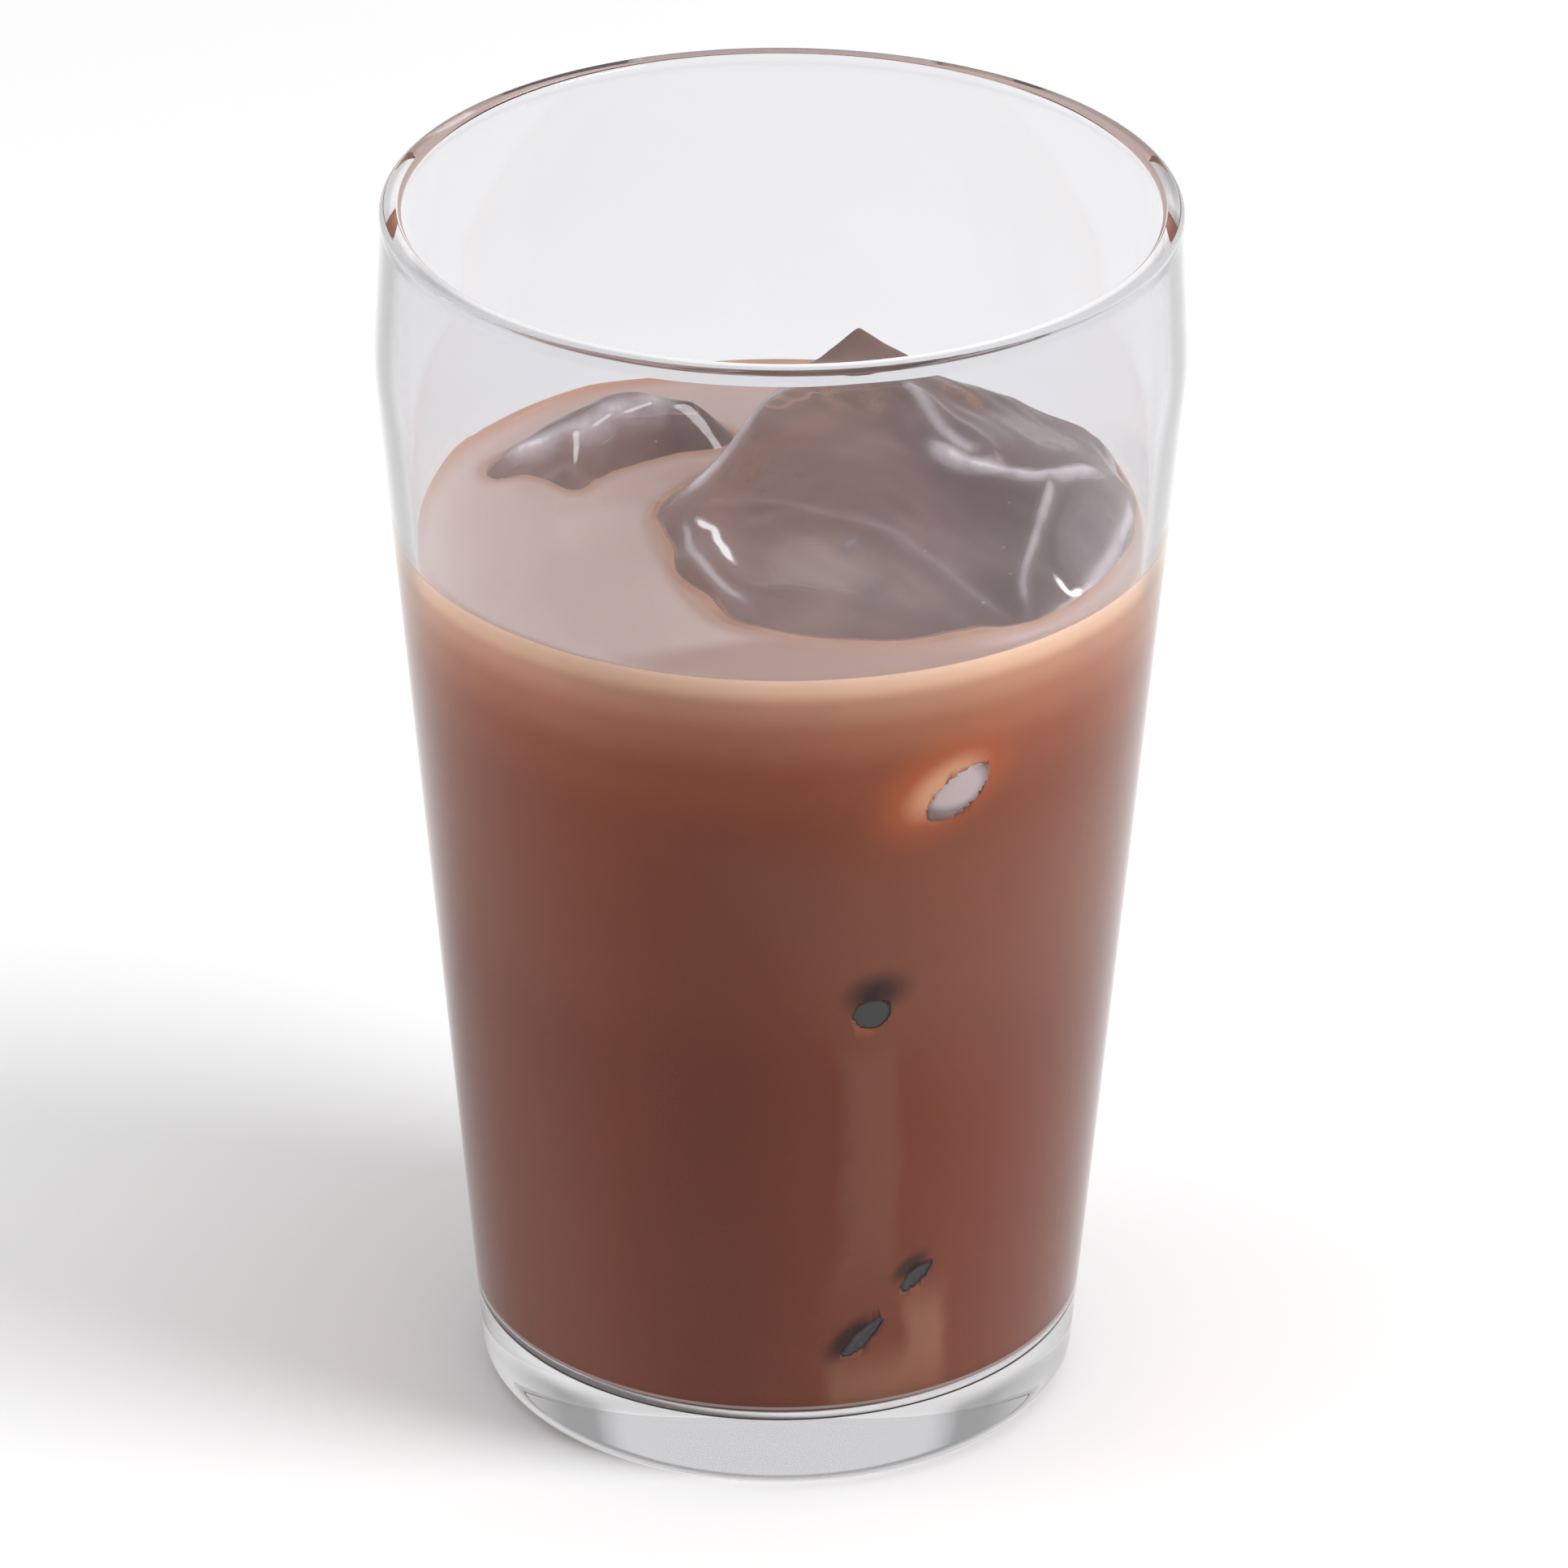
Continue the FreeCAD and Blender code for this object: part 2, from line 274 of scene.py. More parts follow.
BACK = {
    "middle": (-15.5, 16),
    "waterline": (
        (-28.6, 9.6), (-27.6, 7.8), (-24.5, 9.0), (-22, 7.6), (-19.4, 5.4), (-17.4, 8.6), (-15.6, 11.0),
        (-12.4, 13.4), (-9.4, 15.2), (-6.2, 15.8), (-4.2, 18.2), (-5.2, 21.2), (-9.5, 23.6), (-15.5, 23.4),
        (-21, 20.2), (-25.4, 15.6), (-27.9, 12.2),
    ),
    "crown": (
        (-27.1, 9.2, 1.2), (-24.5, 10.4, 2.3), (-19.9, 10.6, 4.0), (-16.2, 13.6, 4.5), (-12.4, 16.2, 4.4),
        (-9.4, 18.4, 3.6), (-7.2, 18.8, 2.7), (-24.6, 14.0, 1.7), (-20.1, 17.0, 3.4), (-15.5, 19.6, 4.0),
        (-12.5, 20.6, 3.5), (-9.5, 21.2, 2.3), (-19.9, 8.0, 1.9), (-12.4, 14.8, 2.2),
    ),
    "ridges": (
        (0.6, 0.8, ((-27.8, 8.8), (-24.5, 10.4), (-19.9, 10.6), (-16.2, 13.6), (-12.4, 16.2), (-8.6, 18.6))),
        (0.3, 0.6, ((-26.4, 12.4), (-21, 17.4), (-15.5, 20.0), (-11, 21.2))),
    ),
    "lights": (
        (1.0, 1.5, ((-27.4, 9.4), (-24.5, 10.8), (-19.9, 11.2), (-16.2, 14.2), (-12.4, 16.8), (-8.6, 18.8))),
        (0.5, 0.5, ((-26.6, 8.4), (-22.4, 8.4), (-18.6, 8.0))),
    ),
    "depth": 16.0,
    "swell": 0.04,
}


def smooth_line(places, steps=16, closed=False):
    """Points of a Catmull-Rom line through places."""
    knots = [np.array(place, float) for place in places]
    if closed:
        knots = [knots[-1]] + knots + knots[:2]
    else:
        knots = [2 * knots[0] - knots[1]] + knots + [2 * knots[-1] - knots[-2]]
    points = []
    for k in range(1, len(knots) - 2):
        a, b, c, d = knots[k - 1:k + 3]
        for step in range(steps):
            t = step / steps
            points.append(0.5 * (2 * b + (c - a) * t + (2 * a - 5 * b + 4 * c - d) * t ** 2
                                 + (3 * b - a - 3 * c + d) * t ** 3))
    if not closed:
        points.append(knots[-2])
    return np.array(points)


def plate_bend(gap):
    return gap ** 2 * np.log(gap + 1e-9)


def crown_height(spots, heights, across):
    """The height of a bent plate through the spots, at the places in across."""
    count = len(spots)
    gaps = np.linalg.norm(spots[:, None] - spots[None], axis=2)
    flat = np.column_stack([np.ones(count), spots])
    matrix = np.block([[plate_bend(gaps), flat], [flat.T, np.zeros((3, 3))]])
    weights = np.linalg.solve(matrix, np.concatenate([heights, np.zeros(3)]))
    height = np.column_stack([np.ones(len(across)), across]) @ weights[count:]
    for spot, weight in zip(spots, weights):
        height += weight * plate_bend(np.linalg.norm(across - spot, axis=1))
    return height


def gap_to_line(across, line):
    gap = np.full(len(across), 1e9)
    for a, b in zip(line, line[1:]):
        share = np.clip((across - a) @ (b - a) / ((b - a) @ (b - a)), 0, 1)
        gap = np.minimum(gap, np.linalg.norm(across - a - share[:, None] * (b - a), axis=1))
    return gap


def painted_highlight_along(across, places, width):
    """A painted highlight band along a line, with a soft halo, that fades towards both ends of the line."""
    line = smooth_line(places, 6)
    band = np.zeros(len(across))
    for index, (a, b) in enumerate(zip(line, line[1:])):
        share = np.clip((across - a) @ (b - a) / ((b - a) @ (b - a)), 0, 1)
        gap = np.linalg.norm(across - a - share[:, None] * (b - a), axis=1) / width
        along = (index + share) / (len(line) - 1)
        fade = np.clip(np.minimum(along, 1 - along) / 0.18, 0.15, 1)
        band = np.maximum(band, fade * (0.75 * np.exp(-gap ** 2) + 0.25 * np.exp(-gap / 2.2)))
    return band


def melt_waves(places, size, seed):
    """Soft unevenness of melted ice, about 1 at its highest, over lengths of about size."""
    draw = np.random.default_rng(seed)
    waves = draw.normal(size=(9, 3)) / size
    turns = draw.uniform(0, 6.28, 9)
    return sum(np.sin(places @ wave + turn) for wave, turn in zip(waves, turns)) / 4.5


def grid_faces(rings, steps, first):
    return [
        (first + ring * steps + step, first + ring * steps + (step + 1) % steps,
         first + (ring + 1) * steps + (step + 1) % steps, first + (ring + 1) * steps + step)
        for ring in range(rings - 1) for step in range(steps)
    ]


def push_noses(places, noses):
    """Draws each nose out from the axis. It is (place, wide, high, lean in degrees, lift), in mm."""
    for place, wide, high, lean, lift in noses:
        x, y, z = (places - np.array(place)).T
        way = np.array(place[:2]) / math.hypot(*place[:2])
        side = -x * way[1] + y * way[0]
        out = x * way[0] + y * way[1]
        cos, sin = math.cos(math.radians(lean)), math.sin(math.radians(lean))
        along = side * cos + z * sin
        up = -side * sin + z * cos
        near = np.exp(-(along / wide) ** 2 - (up / high) ** 2 - (out / 8) ** 2)
        places[:, :2] += near[:, None] * lift * way


def keep_inside(places, gap):
    """Draws in what lies nearer to the wall's inside than gap. Places are in mm, from the surface."""
    most = (wall_radius(SURFACE + places[:, 2] * MM) - gap) / MM
    across = np.maximum(np.hypot(places[:, 0], places[:, 1]), 0.01)
    places[:, :2] *= np.minimum(1, most / across)[:, None]


def make_melting_lump(name, plan, seed, noses=(), steps=420, crown_rings=90, hull_rings=80):
    """A lump that stands out of the drink: a crown above its waterline and a rounded hull under it."""
    middle = np.array(plan["middle"], float)
    shore = smooth_line(plan["waterline"], closed=True) - middle
    turns = np.arctan2(shore[:, 1], shore[:, 0])
    order = np.argsort(turns)
    angles = np.arange(steps) * (2 * math.pi / steps) - math.pi
    reach = np.interp(angles, turns[order], np.linalg.norm(shore, axis=1)[order], period=2 * math.pi)
    spokes = np.column_stack([np.cos(angles), np.sin(angles)])

    shares = np.linspace(0, 1, crown_rings + 1)[1:]
    across = np.concatenate([[middle]] + [middle + spokes * (reach * share)[:, None] for share in shares])
    spots = np.array([(x, y) for x, y, _ in plan["crown"]] + list(plan["waterline"]), float)
    heights = np.array([h for _, _, h in plan["crown"]] + [0.0] * len(plan["waterline"]))
    height = crown_height(spots, heights, across)
    edge = np.concatenate([[0.0], np.repeat(shares, steps)])
    fade = 1 - edge ** 12
    for lift, width, line in plan["ridges"]:
        gap = gap_to_line(across, smooth_line(line, 6))
        height += lift * fade * np.exp(-(np.sqrt(gap ** 2 + 0.06) - 0.245) / width)
    crown = np.column_stack([across, np.maximum(height, 0.4 * (1 - edge))])
    crown[:, 2] += fade * (0.22 * melt_waves(crown, 2.6, seed) + 0.07 * melt_waves(crown, 0.9, seed + 1))

    bends = np.linspace(0, math.pi / 2, hull_rings + 1)[1:-1]
    hull = []
    for bend in bends:
        width = math.cos(bend) ** 0.7 * (1 + plan["swell"] * math.sin(2 * bend))
        ring = np.column_stack([middle + spokes * (reach * width)[:, None],
                                np.full(steps, -plan["depth"] * math.sin(bend) ** 1.15)])
        hull.append(ring)
    hull = np.concatenate(hull + [[[*middle, -plan["depth"]]]])
    hull[:, :2] += (hull[:, :2] - middle) * (0.05 * melt_waves(hull, 6.0, seed + 2)
                                             * np.clip(-hull[:, 2] / 4, 0, 1))[:, None]
    sunk = np.clip(-0.5 - hull[:, 2], 0, 1)
    keep_inside(hull, CROWN_GAP + HULL_DRAW * sunk)
    push_noses(hull, noses)
    keep_inside(hull, CROWN_GAP - sunk * (ICE_INTO_WALL + CROWN_GAP))
    keep_inside(crown, CROWN_GAP)
    places = np.concatenate([crown, hull]) * MM
    places[:, 2] += SURFACE

    last = len(places) - 1
    faces = [(0, 1 + step, 1 + (step + 1) % steps) for step in range(steps)]
    faces += grid_faces(crown_rings + len(bends), steps, 1)
    base = last - steps
    faces += [(last, base + (step + 1) % steps, base + step) for step in range(steps)]
    lump = solid(name, places.tolist(), faces)
    # Painted highlights along the plan's lights, kept on the crown's points.
    painted_highlight = np.zeros(len(places))
    for strength, width, line in plan["lights"]:
        painted_highlight[:len(crown)] = np.maximum(painted_highlight[:len(crown)], strength * painted_highlight_along(crown[:, :2], line, width))
    lump.data.attributes.new("painted_highlight", "FLOAT", "POINT").data.foreach_set("value", painted_highlight)
    return lump


# A facet of a sunken lump faces the azimuth "turn", leans "tilt" from level and lies "reach" mm out.
UPPER_FACETS = (
    (270, 70, 10.5), (315, 84, 11.5), (225, 80, 10.5), (180, 96, 13.5), (90, 88, 14.0), (0, 100, 13.0),
    (60, 20, 9.0), (250, 24, 9.5), (120, 160, 12.0), (300, 150, 11.0), (285, 100, 10.5),
)
LOWER_FACETS = (
    (280, 74, 11.5), (245, 92, 10.5), (320, 88, 11.5), (180, 84, 13.0), (90, 92, 12.5), (10, 94, 12.0),
    (40, 18, 10.5), (230, 26, 9.5), (0, 180, 10.4), (290, 112, 10.5),
)


def facet_normals(facets):
    rows = []
    for turn, tilt, _ in facets:
        a = math.radians(turn)
        b = math.radians(tilt)
        rows.append((math.sin(b) * math.cos(a), math.sin(b) * math.sin(a), math.cos(b)))
    return np.array(rows)


def make_sunken_lump(name, middle, facets, seed, noses, sharp=11, detail=6):
    """A melted block under the surface: its facets run into each other, and its noses reach the wall."""
    ball = bmesh.new()
    bmesh.ops.create_icosphere(ball, subdivisions=detail, radius=1.0)
    mesh = bpy.data.meshes.new(name)
    ball.to_mesh(mesh)
    ball.free()
    piece = show(name, mesh)
    ways = coords(piece)
    ways /= np.linalg.norm(ways, axis=1, keepdims=True)
    press = np.clip(ways @ facet_normals(facets).T, 0, None) / np.array([facet[2] for facet in facets])
    places = ways * ((press ** sharp).sum(axis=1) ** (-1 / sharp))[:, None]
    places += ways * (0.3 * melt_waves(places, 3.0, seed))[:, None]
    places += np.array(middle)
    push_noses(places, noses)
    places *= MM
    across = np.hypot(places[:, 0], places[:, 1])
    most = wall_radius(places[:, 2]) + ICE_INTO_WALL
    places[:, :2] *= np.minimum(1, most / across)[:, None]
    places[:, 2] = np.maximum(places[:, 2], FLOOR_TOP + 0.6 * MM)
    set_coords(piece, places)
    return piece


def make_drink(lumps, sunken):
    """The drink: it reaches a little into the wall, climbs wall and ice, and has room for the ice."""
    edge = wall_radius(SURFACE)
    outline = [Vector((0, SURFACE))]
    rings = 90
    outline += [Vector((edge * ring / rings, SURFACE)) for ring in range(1, rings + 1)]
    outline.append(Vector((edge + INTO_WALL, SURFACE)))
    side = [
        (edge + INTO_WALL, SURFACE, 0),
        (wall_radius(FLOOR_TOP) + INTO_WALL, FLOOR_TOP + UNDER_DRINK, FLOOR_ROUND),
        (0, FLOOR_TOP + UNDER_DRINK, 0),
    ]
    outline += rounded_outline(side)[1:]
    drink = lathe("cocoa", outline, DRINK_STEPS)
    places = coords(drink)
    top = places[:, 2] > SURFACE - 0.01 * MM
    across = np.hypot(places[:, 0], places[:, 1])
    climb = CLIMB * np.exp(-np.clip(edge - across, 0, None) / CLIMB_REACH)
    for lump in lumps:
        tree = BVHTree.FromObject(lump, bpy.context.evaluated_depsgraph_get())
        for index in np.flatnonzero(top):
            spot, normal, _, gap = tree.find_nearest(Vector(places[index]))
            outside = (Vector(places[index]) - spot).dot(normal) > 0
            if outside:
                climb[index] = max(climb[index], ICE_CLIMB * math.exp(-gap / CLIMB_REACH))
            else:
                climb[index] = max(climb[index], ICE_CLIMB)
    places[top, 2] += climb[top]
    set_coords(drink, places)
    for lump in lumps + sunken:
        cutter = lump.copy()
        cutter.data = lump.data.copy()
        normals = np.array([vert.normal for vert in cutter.data.vertices])
        set_coords(cutter, coords(cutter) - normals * CUT_SHRINK)
        bpy.context.scene.collection.objects.link(cutter)
        cut = drink.modifiers.new("room_for_" + lump.name, "BOOLEAN")
        cut.operation = "DIFFERENCE"
        cut.solver = "EXACT"
        cut.object = cutter
        settled = bpy.data.meshes.new_from_object(drink.evaluated_get(bpy.context.evaluated_depsgraph_get()))
        drink.modifiers.clear()
        drink.data = settled
        bpy.data.objects.remove(cutter)
    drink.data.shade_smooth()
    return drink


def face_kinds(drink, lumps, sunken):
    """Which material each face of the drink takes, and how near its corners are to any of the ice."""
    depsgraph = bpy.context.evaluated_depsgraph_get()
    trees = [BVHTree.FromObject(lump, depsgraph) for lump in lumps + sunken]
    near = drink.data.attributes.new("by_ice", "FLOAT", "POINT")
    gaps = np.full(len(drink.data.vertices), 1.0)
    places = coords(drink)
    for tree in trees:
        for index, place in enumerate(places):
            hit = tree.find_nearest(Vector(place), 6 * MM)
            if hit[0] is not None:
                gaps[index] = min(gaps[index], hit[3])
    near.data.foreach_set("value", np.exp(-gaps / (1.6 * MM)))
    for face in drink.data.polygons:
        spot = face.center
        out = math.hypot(spot.x, spot.y)
        cavity = all(gaps[corner] < 0.3 * MM for corner in face.vertices)
        if face.normal.z < -0.5 and spot.z < FLOOR_TOP + FLOOR_ROUND and not cavity:
            face.material_index = 2
        elif out > wall_radius(max(spot.z, FLOOR_TOP)) + 0.05 * MM:
            face.material_index = 1
        else:
            face.material_index = 3 if cavity else 0


# ---------------------------------------------------------------- materials

def new_material(name):
    material = bpy.data.materials.new(name)
    material.use_nodes = True
    material.node_tree.nodes.clear()
    return material, material.node_tree.nodes, material.node_tree.links


def node(nodes, kind, **values):
    made = nodes.new(kind)
    for key, value in values.items():
        setattr(made, key, value)
    return made


def output(nodes, links, shader):
    made = nodes.new("ShaderNodeOutputMaterial")
    links.new(shader, made.inputs["Surface"])
    return made


def principled(nodes, **values):
    made = nodes.new("ShaderNodeBsdfPrincipled")
    for key, value in values.items():
        made.inputs[key.replace("_", " ")].default_value = value
    return made


def lamps_pass(nodes, links, shader, tint=(1, 1, 1, 1), turns=3):
    """Lets lamps through a clear shader, and lets out light that keeps being turned back inside it.

    Shadow rays, and rays turned back more often than turns, meet a transparent shader.
    """
    path = nodes.new("ShaderNodeLightPath")
    clear = nodes.new("ShaderNodeBsdfTransparent")
    clear.inputs["Color"].default_value = tint
    mix = nodes.new("ShaderNodeMixShader")
    late = calculate(nodes, links, "GREATER_THAN", path.outputs["Glossy Depth"], turns - 0.5)
    links.new(calculate(nodes, links, "MAXIMUM", path.outputs["Is Shadow Ray"], late), mix.inputs[0])
    links.new(shader, mix.inputs[1])
    links.new(clear.outputs[0], mix.inputs[2])
    return mix.outputs[0]


def srgb(red, green, blue):
    """A colour given as 0 to 255 display values."""
    def linear(value):
        value /= 255
        return value / 12.92 if value <= 0.04045 else ((value + 0.055) / 1.055) ** 2.4
    return (linear(red), linear(green), linear(blue), 1.0)


def ramp(nodes, stops, interpolation="LINEAR"):
    made = nodes.new("ShaderNodeValToRGB")
    made.color_ramp.interpolation = interpolation
    elements = made.color_ramp.elements
    while len(elements) < len(stops):
        elements.new(0.5)
    for element, (place, colour) in zip(elements, stops):
        element.position = place
        element.color = colour
    return made


def place_of(nodes):
    """Where a point lies on the piece, in metres."""
    return node(nodes, "ShaderNodeTexCoord").outputs["Object"]


def split_place(nodes, links, place):
    """The X, Y and Z of a place."""
    made = node(nodes, "ShaderNodeSeparateXYZ")
    links.new(place, made.inputs[0])
    return made.outputs


def slant(nodes):
    """0 where a surface faces the ray, and 1 where the ray only grazes it."""
    made = node(nodes, "ShaderNodeLayerWeight")
    made.inputs["Blend"].default_value = 0.5
    return made.outputs["Facing"]


def stretch(nodes, links, value, start, end):
    """The value as 0 at start and 1 at end, with soft ends."""
    made = node(nodes, "ShaderNodeMapRange", interpolation_type="SMOOTHSTEP")
    made.inputs["From Min"].default_value = start
    made.inputs["From Max"].default_value = end
    links.new(value, made.inputs["Value"])
    return made.outputs[0]


def calculate(nodes, links, operation, first, second):
    made = node(nodes, "ShaderNodeMath", operation=operation)
    for socket, value in zip(made.inputs, (first, second)):
        if isinstance(value, (int, float)):
            socket.default_value = value
        else:
            links.new(value, socket)
    return made.outputs[0]


def noise(nodes, links, place, scale, detail=3.0, rough=0.55, stretch_by=(1, 1, 1)):
    """Cloudy noise about 0.5, in features of 1/scale metres."""
    spread = node(nodes, "ShaderNodeMapping")
    spread.inputs["Scale"].default_value = stretch_by
    links.new(place, spread.inputs["Vector"])
    made = node(nodes, "ShaderNodeTexNoise")
    made.inputs["Scale"].default_value = scale
    made.inputs["Detail"].default_value = detail
    made.inputs["Roughness"].default_value = rough
    links.new(spread.outputs[0], made.inputs["Vector"])
    return made.outputs["Fac"]


def spot(nodes, links, place, middle, size, lean=(0, 0, 0), soft=(0.0, 1.0)):
    """1 at the middle of an ellipsoid, falling to 0 at its edge. Middle and size are in mm."""
    turned = node(nodes, "ShaderNodeMapping", vector_type="TEXTURE")
    turned.inputs["Location"].default_value = [value * MM for value in middle]
    turned.inputs["Rotation"].default_value = [math.radians(value) for value in lean]
    turned.inputs["Scale"].default_value = [value * MM for value in size]
    links.new(place, turned.inputs["Vector"])
    ball = node(nodes, "ShaderNodeTexGradient", gradient_type="SPHERICAL")
    links.new(turned.outputs[0], ball.inputs["Vector"])
    return stretch(nodes, links, ball.outputs["Fac"], *soft)


def blend(nodes, links, share, first, second):
    """Goes from one colour to another as share rises."""
    made = node(nodes, "ShaderNodeMix", data_type="RGBA")
    made.clamp_factor = True
    for socket, value in ((made.inputs[0], share), (made.inputs[6], first), (made.inputs[7], second)):
        if isinstance(value, (tuple, list)) or isinstance(value, (int, float)):
            socket.default_value = value
        else:
            links.new(value, socket)
    return made.outputs[2]


def bump(nodes, links, height, distance, strength=1.0):
    made = node(nodes, "ShaderNodeBump")
    made.inputs["Strength"].default_value = strength
    made.inputs["Distance"].default_value = distance
    links.new(height, made.inputs["Height"])
    return made.outputs[0]


def glass_material():
    """Clear glass, with painted shade: greyer where wall and base are seen at a slant, in place of dark
    surroundings seen in it. Its rim is darker, also painted shade, the same all round.
    """
    material, nodes, links = new_material("clear_glass")
    shader = principled(nodes, Roughness=0.0, IOR=1.52, Transmission_Weight=1.0)
    shader.inputs["Specular Tint"].default_value = (0.35, 0.35, 0.37, 1)
    place = place_of(nodes)
    _, _, height = split_place(nodes, links, place)
    outer = node(nodes, "ShaderNodeAttribute", attribute_name="outer").outputs["Fac"]
    facing = slant(nodes)

    def greys(value, *stops):
        made = ramp(nodes, [(share, (grey, grey, grey * 1.02, 1)) for share, grey in stops])
        links.new(value, made.inputs[0])
        return made.outputs[0]

    # Painted shade: the outer wall turns dark grey in bands where it is seen at a slant.
    painted_wall_shade = greys(facing, (0.0, 0.76), (0.45, 0.72), (0.60, 0.70), (0.68, 0.60), (0.76, 0.24),
                 (0.83, 0.20), (0.90, 0.42), (1.0, 0.75))
    # Painted shade: a dark grey band on the base where it is seen at a middle slant.
    base = greys(facing, (0.0, 1.0), (0.31, 0.98), (0.37, 0.26), (0.45, 0.26), (0.56, 0.55),
                 (0.70, 0.90), (1.0, 0.90))
    under_rim = stretch(nodes, links, height, RIM + RIM_RISE - 0.3 * MM, RIM + RIM_RISE - 0.6 * MM)
    over_drink = stretch(nodes, links, height, LEVEL - 6 * MM, LEVEL - 1 * MM)
    # Painted shade: the inner wall beside the drink turns greyer where it is seen at a slant.
    painted_shade_beside_drink = greys(facing, (0.0, 0.97), (0.62, 0.97), (0.80, 0.74), (0.92, 0.55), (1.0, 0.50))
    inside = blend(nodes, links, outer, (0.97, 0.965, 0.985, 1), painted_shade_beside_drink)
    colour = blend(nodes, links, calculate(nodes, links, "MULTIPLY", over_drink, outer), inside, painted_wall_shade)
    low = calculate(nodes, links, "MULTIPLY", stretch(nodes, links, height, FLOOR_TOP + MM, FLOOR_TOP - MM),
                    outer)
    colour = blend(nodes, links, low, colour, base)
    level = node(nodes, "ShaderNodeVectorMath", operation="MULTIPLY")
    level.inputs[1].default_value = (1, 1, 0)
    links.new(place, level.inputs[0])
    across = node(nodes, "ShaderNodeVectorMath", operation="LENGTH")
    links.new(level.outputs[0], across.inputs[0])
    edge = node(nodes, "ShaderNodeMapRange")
    edge.inputs["From Min"].default_value = SHOULDER_CORNER - RIM_INSET - UPPER_WALL
    edge.inputs["From Max"].default_value = SHOULDER_CORNER - RIM_INSET + BEAD
    links.new(across.outputs["Value"], edge.inputs["Value"])
    # Painted shade: the rim's top is darker across its width, the same all round.
    rim = greys(edge.outputs[0], (0.0, 0.88), (0.38, 0.75), (0.54, 0.40), (0.94, 0.34), (1.0, 0.52))
    colour = blend(nodes, links, under_rim, rim, colour)
    links.new(colour, shader.inputs["Base Color"])
    output(nodes, links, lamps_pass(nodes, links, shader.outputs[0], (0.96, 0.96, 0.97, 1)))
    return material


